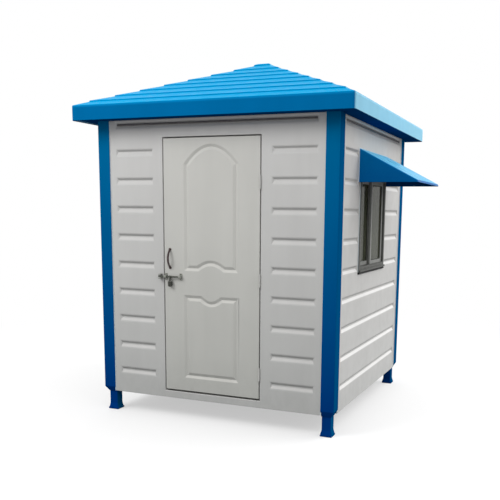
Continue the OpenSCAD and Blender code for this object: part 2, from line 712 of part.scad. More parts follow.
// Rounded cap that closes the apex, as a stack of square layers [share of its size, share of its height]
cap_layers = [[1, 0], [1, 0.3], [0.9, 0.52], [0.68, 0.78], [0.38, 0.94], [0.12, 1]];
layer_t = 0.5;
module roof_cap() color([0.15, 0.66, 0.88]) translate([0, 0, roof_z(cap_share)]) {
    share = cap_share + lip_share;
    half_x = (eave_x - eave_nose_in) * share;
    half_y = (eave_y - eave_nose_in) * share;
    hull() for (layer = cap_layers)
        translate([-half_x * layer[0], -half_y * layer[0], max(0, cap_h * layer[1] - layer_t)])
            cube([2 * half_x * layer[0], 2 * half_y * layer[0], layer_t]);
}

set_out() floor_panel();
set_out() corner(-1, -1) leg();  // leg_front_left
set_out() corner(1, -1) leg();  // leg_front_right
set_out() corner(-1, 1) leg();  // leg_back_left
set_out() corner(1, 1) leg();  // leg_back_right
set_out() corner(-1, -1) post();  // post_front_left
set_out() corner(1, -1) post();  // post_front_right
set_out() corner(-1, 1) post();  // post_back_left
set_out() corner(1, 1) post();  // post_back_right
set_out() front_side(doorway_w / 2 + doorway_left);  // front_wall_left
set_out() corner(1, -1) front_side(doorway_w / 2 - doorway_left);  // front_wall_right
set_out() front_wall_head();
set_out() door_sill();
set_out() left_wall();
set_out() right_wall();
set_out() back_wall();
set_out() door_stop_jambs();
set_out() door_stop_head();
set_out() door_leaf();
set_out() door_hinge_fixed();
set_out() door_hinge_moving();
set_out() pull_handle();
set_out() bolt_guides();
set_out() slide_bolt();
set_out() bolt_keeper();
set_out() padlock_body();
set_out() padlock_shackle();
set_out() window_frame();
set_out() window_sash_front();
set_out() window_sash_rear();
set_out() window_glass_front();
set_out() window_glass_rear();
set_out() awning();
set_out() eave_front();
set_out() eave_right();
set_out() eave_back();
set_out() eave_left();
set_out() roof_front();
set_out() roof_right();
set_out() roof_back();
set_out() roof_left();
set_out() roof_cap();
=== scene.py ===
"""Looks of the security guard booth: finishes, softened mouldings, seals, screws, studio and camera."""

import logging
import math
from dataclasses import dataclass
from enum import Enum
from typing import Callable, Iterable, Sequence

import bmesh
import bpy
from mathutils import Matrix, Vector


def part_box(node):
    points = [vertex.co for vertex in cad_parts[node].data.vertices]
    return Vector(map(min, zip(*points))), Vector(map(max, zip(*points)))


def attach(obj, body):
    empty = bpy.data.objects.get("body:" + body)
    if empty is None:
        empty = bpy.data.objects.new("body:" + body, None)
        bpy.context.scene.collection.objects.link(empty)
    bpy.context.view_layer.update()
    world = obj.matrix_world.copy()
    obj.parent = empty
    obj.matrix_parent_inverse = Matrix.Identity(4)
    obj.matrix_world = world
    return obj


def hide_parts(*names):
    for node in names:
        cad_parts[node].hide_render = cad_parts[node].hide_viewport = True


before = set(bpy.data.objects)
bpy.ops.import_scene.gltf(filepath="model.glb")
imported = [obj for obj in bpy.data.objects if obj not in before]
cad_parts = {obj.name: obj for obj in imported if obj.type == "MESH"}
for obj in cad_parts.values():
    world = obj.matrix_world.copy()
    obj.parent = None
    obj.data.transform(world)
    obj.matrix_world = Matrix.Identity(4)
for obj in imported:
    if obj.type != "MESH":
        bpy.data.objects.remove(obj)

LOG = logging.getLogger("booth")
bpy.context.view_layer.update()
PANES = ("window_glass_front", "window_glass_rear")

Point = tuple[float, float, float]
Colour = tuple[float, float, float]
Span = tuple[float, float]
Piece = bpy.types.Object
Edge = bmesh.types.BMEdge
Node = bpy.types.Node
Socket = bpy.types.NodeSocket

# Lengths in metres: points closer than WELD become one, and edges shorter than SLIVER go
MM = 0.001
WELD = 0.02 * MM
SLIVER = 0.002 * MM

# Angles in degrees between the faces at an edge
FLAT_ANGLE = 0.3
SHALLOW_ANGLE = 60.0
FITTING_ANGLE = 40.0

# Directions
UP: Point = (0.0, 0.0, 1.0)
DOWN: Point = (0.0, 0.0, -1.0)
RIGHT: Point = (1.0, 0.0, 0.0)
FRONT: Point = (0.0, -1.0, 0.0)

# Scales of a pattern along each axis
EVEN: Point = (1.0, 1.0, 1.0)
ALONG_HEIGHT: Point = (1.0, 1.0, 0.12)
ALONG_WINDOW: Point = (1.0, 0.05, 1.0)
ALONG_BOLT: Point = (0.1, 1.0, 1.0)


class Body(Enum):
    """The rigid bodies that pieces ride on."""

    BOOTH = "booth"
    DOOR = "door"
    BOLT = "bolt"


class Slot(Enum):
    """Material slots of the record, named with each finish."""

    WALL = "wall_white"
    POST = "post_blue"
    ROOF = "roof_blue"
    FLOOR = "floor_board"
    FRAME = "window_aluminium"
    GLASS = "window_glass"
    STEEL = "steel"
    DARK = "dark_metal"


class NodeGraph:
    """A node tree with short calls to add and link nodes."""

    def __init__(self, tree: bpy.types.NodeTree) -> None:
        """Takes up a tree."""
        self.tree = tree

    def add(self, kind: str, *inputs: object, **values: object) -> Node:
        """Adds a node.

        Args:
            kind: Blender's node type.
            *inputs: links or values for its first sockets, in order.
            **values: the same by socket name, with underscores for spaces, or properties of the node.

        Returns:
            The new node.
        """
        node = self.tree.nodes.new(kind)
        for key, value in (*values.items(), *enumerate(inputs)):
            name = key.replace("_", " ").title() if isinstance(key, str) else key
            if isinstance(key, str) and name not in node.inputs:
                setattr(node, key, value)
            else:
                self.give(node.inputs[name], value)
        return node

    def give(self, socket: Socket, value: object) -> None:
        """Links an input to an output, or sets its value.

        Args:
            socket: the input.
            value: the output or the value.
        """
        if isinstance(value, Socket):
            self.tree.links.new(value, socket)
        else:
            socket.default_value = value


class ShaderGraph(NodeGraph):
    """A material's node tree that ends in a Principled shader."""

    def __init__(self, name: str) -> None:
        """Makes a new material.

        Args:
            name: the material's name.
        """
        self.material = bpy.data.materials.new(name)
        self.material.use_nodes = True
        super().__init__(self.material.node_tree)
        self.shader = self.tree.nodes["Principled BSDF"]
        self.place = self.add("ShaderNodeTexCoord").outputs["Object"]

    def noise(self, scale: float, detail: float, stretch: Point = EVEN) -> Socket:
        """Adds noise on Object coordinates.

        Args:
            scale: features to a metre.
            detail: octaves of finer noise.
            stretch: scale along each axis.

        Returns:
            The noise value.
        """
        mapping = self.add("ShaderNodeMapping", vector=self.place, scale=stretch)
        noise = self.add("ShaderNodeTexNoise", vector=mapping.outputs[0], scale=scale, detail=detail)
        return noise.outputs["Fac"]

    def ramp(self, value: Socket, span: Span, result: Span, smooth: bool = True) -> Socket:
        """Maps a value from one range to another and clamps it.

        Args:
            value: the value to map.
            span: start and end of its range.
            result: what the start and the end become.
            smooth: whether the ends are eased.

        Returns:
            The mapped value.
        """
        course = "SMOOTHSTEP" if smooth else "LINEAR"
        return self.add("ShaderNodeMapRange", value, *span, *result, interpolation_type=course).outputs[0]

    def height(self) -> Socket:
        """Gives the height above the ground in metres."""
        return self.add("ShaderNodeSeparateXYZ", vector=self.place).outputs["Z"]

    def facing(self, axis: Point) -> Socket:
        """Gives how far the surface looks along an axis, from -1 to 1."""
        normal = self.add("ShaderNodeNewGeometry").outputs["Normal"]
        return self.add("ShaderNodeVectorMath", normal, axis, operation="DOT_PRODUCT").outputs["Value"]

    def mix(self, factor: Socket, a: Colour | Socket, b: Colour) -> Socket:
        """Blends two colours.

        Args:
            factor: 0 gives a, 1 gives b.
            a: first colour, fixed or from a node.
            b: second colour.

        Returns:
            The blended colour.
        """
        node = self.add("ShaderNodeMix", data_type="RGBA", factor=factor)
        first, second = node.inputs[6], node.inputs[7]
        self.give(first, a if isinstance(a, Socket) else (*a, 1.0))
        self.give(second, (*b, 1.0))
        return node.outputs[2]

    def tint(self, colour: Socket, shade: Socket) -> Socket:
        """Multiplies a colour by a shade value."""
        return self.add("ShaderNodeVectorMath", colour, operation="SCALE", scale=shade).outputs[0]

    def times(self, a: Socket, b: Socket) -> Socket:
        """Multiplies two values."""
        return self.add("ShaderNodeMath", a, b, operation="MULTIPLY").outputs[0]

    def bump(self, height: Socket, strength: float, distance: float) -> None:
        """Raises the surface by a height, over any bump that is there already.

        Args:
            height: the height from 0 to 1.
            strength: how much of it shows.
            distance: size of a full step in metres.
        """
        node = self.add("ShaderNodeBump", strength=strength, distance=distance, height=height)
        normal = self.shader.inputs["Normal"]
        if normal.links:
            self.give(node.inputs["Normal"], normal.links[0].from_socket)
        self.give(normal, node.outputs[0])

    def set(self, **values: float | Socket) -> None:
        """Sets or links sockets of the shader.

        Args:
            **values: values or links by socket name in small letters, with underscores for spaces.
        """
        names = {socket.name.lower().replace(" ", "_"): socket for socket in self.shader.inputs}
        for key, value in values.items():
            self.give(names[key], value)


@dataclass(frozen=True)
class Mottle:
    """Uneven shade from noise: features to a metre, octaves, the noise values used and what they become."""

    scale: float
    detail: float
    span: Span
    result: Span
    stretch: Point = EVEN

    def on(self, graph: ShaderGraph) -> Socket:
        """Adds the shade to a material."""
        return graph.ramp(graph.noise(self.scale, self.detail, self.stretch), self.span, self.result)


@dataclass(frozen=True)
class GelcoatFinish:
    """Moulded fibreglass with a coloured skin, soiled near the ground, with painted light and shade on it."""

    name: str
    slot: Slot
    top: Colour
    low: Colour
    # Heights over which the low colour turns to the top one: mostly painted shade, darker lower down
    fade: Span = (0.15, 2.1)
    roughness: float = 0.38
    specular: float = 0.1
    # Painted light and shade: a colour painted on faces that look along an axis, lighter or darker by how
    # light falls on them, fading with height
    painted_facing_colour: Colour | None = None
    painted_facing_axis: Point = UP
    painted_facing_span: Span = (0.65, 0.9)
    painted_facing_heights: Span = (0.7, 1.8)
    painted_facing_top: float = 1.0
    soil: float = 0.06
    soil_heights: Span = (0.14, 0.55)
    # Painted shade under lips: how dark faces that look down are made, and over which facing it fades in
    painted_shade_under_lips: float = 1.0
    lip_span: Span = (-0.6, -0.2)
    streaks: Mottle = Mottle(9.0, 4.0, (0.3, 0.75), (1.0, 0.965), ALONG_HEIGHT)
    blotches: Mottle = Mottle(3.0, 5.0, (0.3, 0.7), (0.985, 1.015))
    dirt: Mottle = Mottle(26.0, 6.0, (0.35, 0.7), (0.3, 1.0), (1.0, 1.0, 0.5))

    def build(self) -> bpy.types.Material:
        """Builds the material: painted shade by height and under lips, painted light and shade on turned
        faces, streaks, soil, waviness, orange peel.

        Returns:
            The material.
        """
        graph = ShaderGraph(self.name)
        height = graph.height()
        # Painted shade: the colour turns from the low one to the top one with height
        colour = graph.mix(graph.ramp(height, self.fade, (0.0, 1.0), smooth=False), self.low, self.top)
        # Painted light and shade on faces that look along the axis
        if self.painted_facing_colour:
            share = graph.ramp(graph.facing(self.painted_facing_axis), self.painted_facing_span, (0.0, 1.0))
            left = graph.ramp(height, self.painted_facing_heights, (1.0, self.painted_facing_top))
            colour = graph.mix(graph.times(share, left), colour, self.painted_facing_colour)
        near_ground = graph.ramp(height, self.soil_heights, (self.soil, 0.0))
        soiled = graph.times(self.dirt.on(graph), near_ground)
        clean = graph.add("ShaderNodeMath", 1.0, soiled, operation="SUBTRACT").outputs[0]
        # Painted shade on faces that look down, under the lips of grooves and mouldings
        painted_under_shade = graph.ramp(graph.facing(UP), self.lip_span, (self.painted_shade_under_lips, 1.0))
        for shade in (self.streaks.on(graph), self.blotches.on(graph), clean, painted_under_shade):
            colour = graph.tint(colour, shade)
        gloss = Mottle(14.0, 4.0, (0.3, 0.7), (self.roughness - 0.05, self.roughness + 0.07))
        graph.bump(graph.noise(scale=4.5, detail=2.0), strength=0.10, distance=4 * MM)
        graph.bump(graph.noise(scale=420.0, detail=2.0), strength=0.05, distance=0.3 * MM)
        graph.set(base_color=colour, roughness=gloss.on(graph), specular_ior_level=self.specular)
        return graph.material


@dataclass(frozen=True)
class MetalFinish:
    """Plain or painted metal with brushed grain and worn patches."""

    name: str
    slot: Slot
    colour: Colour
    worn: Colour
    roughness: float = 0.45
    metallic: float = 0.3
    grain: Point = EVEN
    specular: float = 0.5
    patches: Mottle = Mottle(38.0, 6.0, (0.48, 0.72), (0.0, 1.0))

    def build(self) -> bpy.types.Material:
        """Builds the material: worn patches, fine grain along one axis and uneven gloss.

        Returns:
            The material.
        """
        graph = ShaderGraph(self.name)
        colour = graph.mix(self.patches.on(graph), self.colour, self.worn)
        grain = graph.noise(scale=260.0, detail=3.0, stretch=self.grain)
        gloss = graph.ramp(grain, (0.25, 0.75), (self.roughness - 0.08, self.roughness + 0.1))
        graph.bump(grain, strength=0.08, distance=0.2 * MM)
        graph.set(base_color=colour, roughness=gloss, metallic=self.metallic,
                  specular_ior_level=self.specular)
        return graph.material


@dataclass(frozen=True)
class GlassFinish:
    """Dark window glass, tinted greenish partly as a real tint and partly as painted reflection, with paler
    patches.
    """

    name: str
    slot: Slot
    # Tint: partly a real tint and partly a painted reflection
    colour: Colour
    transmission: float
    ior: float
    paler: float = 1.6
    pale_patches: Mottle = Mottle(17.0, 5.0, (0.4, 0.8), (0.0, 0.25))
    haze: Mottle = Mottle(22.0, 5.0, (0.4, 0.8), (0.03, 0.09))

    def build(self) -> bpy.types.Material:
        """Builds the material: tint with paler patches, and a nearly smooth surface.

        Returns:
            The material.
        """
        graph = ShaderGraph(self.name)
        patch_colour = tuple(self.paler * part for part in self.colour)
        colour = graph.mix(self.pale_patches.on(graph), self.colour, patch_colour)
        graph.set(base_color=colour, roughness=self.haze.on(graph), transmission_weight=self.transmission,
                  ior=self.ior)
        return graph.material


@dataclass(frozen=True)
class SoftFinish:
    """Rubber, sealant or boarding without shine."""

    name: str
    slot: Slot
    colour: Colour
    roughness: float = 0.75
    mottle: float = 0.12
    scale: float = 60.0
    specular: float = 0.25
    grain: float = 8.0

    def build(self) -> bpy.types.Material:
        """Builds the material: mottled colour, and a grain that is finer than the mottling.

        Returns:
            The material.
        """
        graph = ShaderGraph(self.name)
        darker = tuple(part * (1.0 - self.mottle) for part in self.colour)
        patches = Mottle(self.scale, 5.0, (0.3, 0.7), (0.0, 1.0))
        colour = graph.mix(patches.on(graph), self.colour, darker)
        graph.bump(graph.noise(scale=self.scale * self.grain, detail=2.0), strength=0.1, distance=0.3 * MM)
        graph.set(base_color=colour, roughness=self.roughness, specular_ior_level=self.specular)
        return graph.material


# How far the sloped faces of grooves and mouldings that take a painted highlight look upwards
SLOPE: Span = (0.22, 0.45)


class Finishes(Enum):
    """Every finish on the booth."""

    # Front wall: darker lower down as painted shade, a painted highlight on the upward slopes of grooves, and
    # painted shade under their lips
    WALL = GelcoatFinish("white_wall_gelcoat", Slot.WALL, (0.61, 0.605, 0.595), (0.47, 0.475, 0.465),
                         painted_facing_colour=(0.575, 0.57, 0.56), painted_facing_span=SLOPE, painted_shade_under_lips=0.74)
    # Side walls: the same white gelcoat, with brighter painted highlights on the groove slopes that fade out
    # higher up, and painted shade under the lips
    SIDE = GelcoatFinish("white_side_gelcoat", Slot.WALL, (0.49, 0.48, 0.465), (0.50, 0.50, 0.49),
                         painted_facing_colour=(0.78, 0.77, 0.76), painted_facing_span=SLOPE, painted_facing_top=0.3, painted_shade_under_lips=0.74)
    # Door: the same painted shade and painted highlights as the front wall, on its mouldings
    DOOR = GelcoatFinish("white_door_gelcoat", Slot.WALL, (0.61, 0.605, 0.575), (0.47, 0.475, 0.45),
                         painted_facing_colour=(0.60, 0.595, 0.565), painted_facing_span=SLOPE, painted_shade_under_lips=0.82)
    # Posts and legs: lighter at the top as a painted reflection of the sky, darker lower down and on
    # right-facing faces as painted shade
    POST = GelcoatFinish("dark_blue_gelcoat", Slot.POST, (0.0, 0.140, 0.335), (0.0, 0.036, 0.195),
                         roughness=0.3, specular=0.0, painted_facing_colour=(0.0, 0.070, 0.200), painted_facing_axis=RIGHT)
    # Roof, fascia and soffit: one blue gelcoat in lit and shaded copies, by the way a face looks; the roof's
    # light blue stands partly for a painted reflection of the sky
    ROOF = GelcoatFinish("roof_blue_gelcoat", Slot.ROOF, (0.0, 0.320, 0.615), (0.0, 0.305, 0.600),
                         fade=(2.2, 2.6), roughness=0.35, specular=0.01)
    # Fascia: a darker blue on steep faces as painted shade, darker lower down, and right-facing faces pale as
    # a painted reflection
    FASCIA = GelcoatFinish("fascia_blue_gelcoat", Slot.ROOF, (0.0, 0.210, 0.480), (0.0, 0.142, 0.370),
                           fade=(2.205, 2.24), roughness=0.35, specular=0.01, painted_facing_colour=(0.24, 0.52, 0.68),
                           painted_facing_axis=RIGHT)
    # Undersides of the roof and the inside of the awning: a matte finish, with a dark blue that is painted
    # shade
    SOFFIT = SoftFinish("matte_soffit", Slot.ROOF, (0.0, 0.042, 0.160), roughness=0.95, mottle=0.15,
                        scale=12.0, specular=0.0)
    # Awning: upward faces lighter as a painted highlight, and darker lower down as painted shade
    AWNING = GelcoatFinish("awning_blue_gelcoat", Slot.ROOF, (0.0, 0.165, 0.450), (0.0, 0.115, 0.370),
                           fade=(1.7, 1.95), roughness=0.3, specular=0.02, painted_facing_colour=(0.08, 0.43, 0.70))
    FRAME = MetalFinish("dark_anodised_frame", Slot.FRAME, (0.115, 0.117, 0.110), (0.090, 0.092, 0.086),
                        metallic=0.0, grain=ALONG_WINDOW, specular=0.03)
    SASH = MetalFinish("grey_anodised_sash", Slot.FRAME, (0.250, 0.254, 0.242), (0.200, 0.204, 0.192),
                       metallic=0.0, grain=ALONG_WINDOW, specular=0.03)
    STEEL = MetalFinish("plated_steel", Slot.STEEL, (0.22, 0.22, 0.21), (0.12, 0.11, 0.10), roughness=0.4,
                        metallic=0.9, grain=ALONG_BOLT)
    PLATE = MetalFinish("galvanised_plate", Slot.STEEL, (0.30, 0.31, 0.28), (0.22, 0.23, 0.20), roughness=0.5,
                        grain=ALONG_BOLT, specular=0.2)
    BOLT = MetalFinish("dark_bolt", Slot.STEEL, (0.085, 0.092, 0.078), (0.060, 0.064, 0.052), metallic=0.4,
                       grain=ALONG_BOLT, specular=0.2)
    BROWN = MetalFinish("brown_handle_paint", Slot.DARK, (0.038, 0.020, 0.020), (0.070, 0.042, 0.040),
                        roughness=0.35, metallic=0.1)
    LOCK = MetalFinish("dark_padlock", Slot.DARK, (0.040, 0.042, 0.036), (0.062, 0.064, 0.054),
                       roughness=0.38, specular=0.3)
    HINGE = MetalFinish("painted_hinge", Slot.STEEL, (0.50, 0.50, 0.48), (0.40, 0.40, 0.38), roughness=0.5,
                        metallic=0.1)
    # Glass: its greenish tint is partly a real tint and partly a painted reflection
    GLASS = GlassFinish("tinted_glass", Slot.GLASS, (0.20, 0.215, 0.145), transmission=0.85, ior=1.11)
    RUBBER = SoftFinish("black_rubber", Slot.DARK, (0.02, 0.02, 0.02))
    # A dark strip laid in the top groove where there is only shade: painted shade
    STRIP = SoftFinish("grey_strip", Slot.DARK, (0.19, 0.18, 0.18), roughness=0.8, mottle=0.2, scale=40.0,
                       specular=0.05)
    SEALANT = SoftFinish("pale_sealant", Slot.WALL, (0.58, 0.66, 0.69), roughness=0.6)
    BOARD = SoftFinish("grey_floor_board", Slot.FLOOR, (0.23, 0.23, 0.22), roughness=0.7, mottle=0.2,
                       scale=9.0)

    def material(self) -> bpy.types.Material:
        """Gives the finish's material, built at first use."""
        return bpy.data.materials.get(self.value.name) or self.value.build()


class GeometryTree(NodeGraph):
    """A Geometry Nodes tree that is built in the script and run on one mesh."""

    def __init__(self, name: str, inputs: dict[str, str]) -> None:
        """Makes a tree with a geometry input and output, named inputs and a material.

        Args:
            name: the tree's name.
            inputs: socket types by input name.
        """
        super().__init__(bpy.data.node_groups.new(name, "GeometryNodeTree"))
        sockets = {"Geometry": "NodeSocketGeometry", **inputs, "Material": "NodeSocketMaterial"}
        self.sockets: dict[str, str] = {}
        for label, kind in sockets.items():
            socket = self.tree.interface.new_socket(label, in_out="INPUT", socket_type=kind)
            self.sockets[label] = socket.identifier
        self.tree.interface.new_socket("Geometry", in_out="OUTPUT", socket_type="NodeSocketGeometry")
        self.source = self.add("NodeGroupInput")
        self.sink = self.add("NodeGroupOutput")

    def close(self, geometry: Socket) -> None:
        """Ends the tree in Realize Instances and Set Material.

        Args:
            geometry: what the tree has made.
        """
        real = self.add("GeometryNodeRealizeInstances", geometry=geometry)
        material = self.source.outputs["Material"]
        painted = self.add("GeometryNodeSetMaterial", geometry=real.outputs[0], material=material)
        self.give(self.sink.inputs[0], painted.outputs[0])

    def run(self, name: str, seed_mesh: bpy.types.Mesh, finish: Finishes, body: Body,
            **values: object) -> None:
        """Runs the tree on a mesh, makes the result a plain mesh without modifiers and dresses it.

        Args:
            name: the new piece's name.
            seed_mesh: the points or paths that the tree reads.
            finish: the piece's finish.
            body: the body that it rides on.
            **values: values of the named inputs.
        """
        seed = placed(name + "_seed", seed_mesh)
        modifier = seed.modifiers.new("nodes", "NODES")
        modifier.node_group = self.tree
        for label, value in {**values, "Material": finish.material()}.items():
            modifier[self.sockets[label]] = value
        piece = placed(name, evaluated_mesh(seed))
        bpy.data.objects.remove(seed)
        dress(piece, finish, body)


class BeadTree(GeometryTree):
    """Beads of sealant or rubber that follow paths."""

    SIDES = 8

    def __init__(self) -> None:
        """Builds the tree: paths to curves, swept with a round section."""
        super().__init__("bead_along_path", {"Radius": "NodeSocketFloat", "Sides": "NodeSocketInt"})
        source = self.source.outputs
        curve = self.add("GeometryNodeMeshToCurve", mesh=source["Geometry"])
        section = self.add("GeometryNodeCurvePrimitiveCircle", resolution=source["Sides"],
                           radius=source["Radius"])
        swept = self.add("GeometryNodeCurveToMesh", curve=curve.outputs[0], profile_curve=section.outputs[0],
                         fill_caps=True)
        self.close(self.add("GeometryNodeSetShadeSmooth", geometry=swept.outputs[0]).outputs[0])

    def lay(self, name: str, paths: Iterable[Sequence[Point]], radius: float, finish: Finishes,
            closed: bool = False) -> None:
        """Lays a bead on the booth along each path.

        Args:
            name: the piece's name.
            paths: lists of points in metres.
            radius: the bead's radius in metres.
            finish: the bead's finish.
            closed: whether each path returns to its start.
        """
        points: list[Point] = []
        edges: list[tuple[int, int]] = []
        for path in paths:
            places = range(len(points), len(points) + len(path))
            points.extend(path)
            edges.extend(zip(places, places[1:]))
            if closed:
                edges.append((places[-1], places[0]))
        mesh = bpy.data.meshes.new(name)
        mesh.from_pydata(points, edges, [])
        self.run(name, mesh, finish, Body.BOOTH, Radius=radius, Sides=self.SIDES)


class ScrewTree(GeometryTree):
    """Steel screw heads set on points and turned to face outwards."""

    SEED = 7

    def __init__(self) -> None:
        """Builds the tree: one head on each point, aligned to the point's facing, spun at random."""
        super().__init__("screws_on_points", {"Head": "NodeSocketObject", "Size": "NodeSocketFloat"})
        source = self.source.outputs
        head = self.add("GeometryNodeObjectInfo", object=source["Head"])
        facing = self.add("GeometryNodeInputNamedAttribute", data_type="FLOAT_VECTOR", name="facing")
        turn = self.add("FunctionNodeAlignRotationToVector", axis="Z", vector=facing.outputs[0])
        spin = self.add("FunctionNodeRandomValue", data_type="FLOAT", seed=self.SEED)
        most = spin.inputs[3]
        most.default_value = math.pi
        twist = self.add("FunctionNodeAxisAngleToRotation", axis=UP, angle=spin.outputs[1])
        both = self.add("FunctionNodeRotateRotation", rotation_space="LOCAL", rotation=turn.outputs[0],
                        rotate_by=twist.outputs[0])
        heads = self.add("GeometryNodeInstanceOnPoints", points=source["Geometry"],
                         instance=head.outputs["Geometry"], rotation=both.outputs[0], scale=source["Size"])
        self.close(heads.outputs[0])

    def set_on(self, name: str, places: Sequence[Point], facing: Point, radius: float, body: Body) -> None:
        """Sets a screw head on each place.

        Args:
            name: the piece's name.
            places: points on the surface in metres.
            facing: the direction that the heads look in.
            radius: radius of a head in metres.
            body: the body that they ride on.
        """
        mesh = bpy.data.meshes.new(name)
        mesh.from_pydata(list(places), [], [])
        attribute = mesh.attributes.new("facing", "FLOAT_VECTOR", "POINT")
        for item in attribute.data:
            item.vector = facing
        head = screw_head()
        self.run(name, mesh, Finishes.STEEL, body, Head=head, Size=radius)
        bpy.data.objects.remove(head)


def placed(name: str, data: bpy.types.ID) -> Piece:
    """Makes an object in the scene.

    Args:
        name: the object's name.
        data: its mesh, lamp or camera.

    Returns:
        The object, at the origin.
    """
    obj = bpy.data.objects.new(name, data)
    bpy.context.scene.collection.objects.link(obj)
    return obj


def evaluated_mesh(obj: Piece) -> bpy.types.Mesh:
    """Gives an object's mesh with its modifiers applied.

    Args:
        obj: the object.

    Returns:
        The new mesh.
    """
    graph = bpy.context.evaluated_depsgraph_get()
    graph.update()
    return bpy.data.meshes.new_from_object(obj.evaluated_get(graph))


def screw_head() -> Piece:
    """Turns a domed head of radius 1 with a drive recess in its middle.

    Returns:
        The head, looking up.
    """
    profile = [(1.0, -0.05), (1.0, 0.15), (0.86, 0.38), (0.55, 0.52), (0.36, 0.55), (0.30, 0.30)]
    foot, recess = -0.05, 0.22
    sides = 12
    mesh = bmesh.new()
    low = mesh.verts.new((0.0, 0.0, foot))
    turns = [2.0 * math.pi * step / sides for step in range(sides)]
    rings = [[mesh.verts.new((radius * math.cos(turn), radius * math.sin(turn), height)) for turn in turns]
             for radius, height in profile]
    high = mesh.verts.new((0.0, 0.0, recess))
    for step in range(sides):
        following = (step + 1) % sides
        mesh.faces.new((low, rings[0][following], rings[0][step]))
        for lower, upper in zip(rings, rings[1:]):
            mesh.faces.new((lower[step], lower[following], upper[following], upper[step]))
        mesh.faces.new((rings[-1][step], rings[-1][following], high))
    return as_object("screw_head", mesh)


def as_object(name: str, mesh: bmesh.types.BMesh) -> Piece:
    """Makes an object in the scene from an edited mesh and frees that mesh.

    Args:
        name: the object's name.
        mesh: the edited mesh.

    Returns:
        The new object, at the origin.
    """
    data = bpy.data.meshes.new(name)
    mesh.to_mesh(data)
    mesh.free()
    return placed(name, data)


def upright_ring(x: float, low: Vector, high: Vector) -> list[Point]:
    """Lists the corners of an upright rectangle that looks sideways."""
    return [(x, low.y, low.z), (x, high.y, low.z), (x, high.y, high.z), (x, low.y, high.z)]


def half_height(node: str) -> float:
    """Gives the height of a CAD node's middle."""
    low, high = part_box(node)
    return (low.z + high.z) / 2


def plain_copy(name: str, node: str) -> Piece:
    """Copies a CAD node with its triangles joined at their corners.

    Args:
        name: name of the copy.
        node: the CAD node.

    Returns:
        The copy.
    """
    mesh = bmesh.new()
    mesh.from_mesh(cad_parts[node].data)
    bmesh.ops.remove_doubles(mesh, verts=mesh.verts, dist=WELD)
    return as_object(name, mesh)


def tidy_flats(mesh: bmesh.types.BMesh, levels: Sequence[float] = (), weld: float = WELD,
               axis: Point = UP) -> None:
    """Merges double points and dissolves the edges inside flat faces.

    Args:
        mesh: the mesh to tidy.
        levels: places on the axis at which flat faces stay cut, so that none of them has a hole in it.
        weld: distance in metres within which points become one.
        axis: direction that the levels are measured in.
    """
    bmesh.ops.remove_doubles(mesh, verts=mesh.verts, dist=weld)
    for level in levels:
        everything = [*mesh.verts, *mesh.edges, *mesh.faces]
        cut = bmesh.ops.bisect_plane(mesh, geom=everything, plane_co=level * Vector(axis), plane_no=axis)
        for item in cut["geom_cut"]:
            if isinstance(item, Edge):
                item.seam = True
    bmesh.ops.dissolve_limit(mesh, angle_limit=math.radians(FLAT_ANGLE), verts=mesh.verts, edges=mesh.edges,
                             delimit={"SEAM"})


def fused_copy(name: str, nodes: Sequence[str], levels: Sequence[float] = ()) -> Piece:
    """Copies several CAD nodes that touch and joins them into one solid.

    Args:
        name: name of the copy.
        nodes: the CAD nodes.
        levels: heights at which flat faces stay cut, for panels with openings.

    Returns:
        The joined copy.
    """
    base = plain_copy(name, nodes[0])
    for node in nodes[1:]:
        other = plain_copy(node + "_copy", node)
        union = base.modifiers.new("join", "BOOLEAN")
        union.operation = "UNION"
        union.solver = "EXACT"
        union.object = other
        joined = evaluated_mesh(base)
        base.modifiers.remove(union)
        base.data = joined
        bpy.data.objects.remove(other)
    mesh = bmesh.new()
    mesh.from_mesh(base.data)
    tidy_flats(mesh, levels)
    mesh.to_mesh(base.data)
    mesh.free()
    return base


def is_shallow(edge: Edge) -> bool:
    """Tells whether the faces at an edge turn by less than the shallow angle."""
    return edge.calc_face_angle() < math.radians(SHALLOW_ANGLE)


def round_edges(mesh: bmesh.types.BMesh, edges: list[Edge], radius: float, steps: int, clamp: bool) -> None:
    """Rounds edges of a mesh to a radius in metres."""
    bmesh.ops.bevel(mesh, geom=edges, offset=radius, offset_type="OFFSET", segments=steps, profile=0.5,
                    affect="EDGES", clamp_overlap=clamp, miter_outer="ARC")


def soften(obj: Piece, radius: float, angle: float = 12.0, steps: int = 3, broad: float = 0.0,
           outer: Callable[[Edge], bool] = is_shallow, inner: bool = True, clamp: bool = True) -> None:
    """Rounds the sharp edges of a piece and shades it smooth with flat faces kept flat.

    Args:
        obj: the piece.
        radius: radius of the rounding in metres.
        angle: least angle in degrees between two faces whose edge is rounded.
        steps: number of faces across the rounding.
        broad: radius at the outer edges, where it differs from the rest.
        outer: tells which convex edges are outer edges.
        inner: whether hollow edges are rounded too.
        clamp: whether the radius shrinks on the whole piece where one edge lacks room.
    """
    mesh = bmesh.new()
    mesh.from_mesh(obj.data)
    limit = math.radians(angle)
    if broad:
        chosen = [edge for edge in mesh.edges
                  if edge.is_convex and edge.calc_face_angle() > limit and outer(edge)]
        round_edges(mesh, chosen, broad, 2 * steps, clamp=False)
    sharp = [edge for edge in mesh.edges
             if edge.is_manifold and edge.calc_face_angle() > limit and (inner or edge.is_convex)]
    round_edges(mesh, sharp, radius, steps, clamp)
    bmesh.ops.dissolve_degenerate(mesh, dist=SLIVER, edges=mesh.edges)
    for face in mesh.faces:
        face.smooth = True
    mesh.to_mesh(obj.data)
    mesh.free()
    weighted = obj.modifiers.new("flat faces stay flat", "WEIGHTED_NORMAL")
    weighted.keep_sharp = False
    weighted.weight = 100


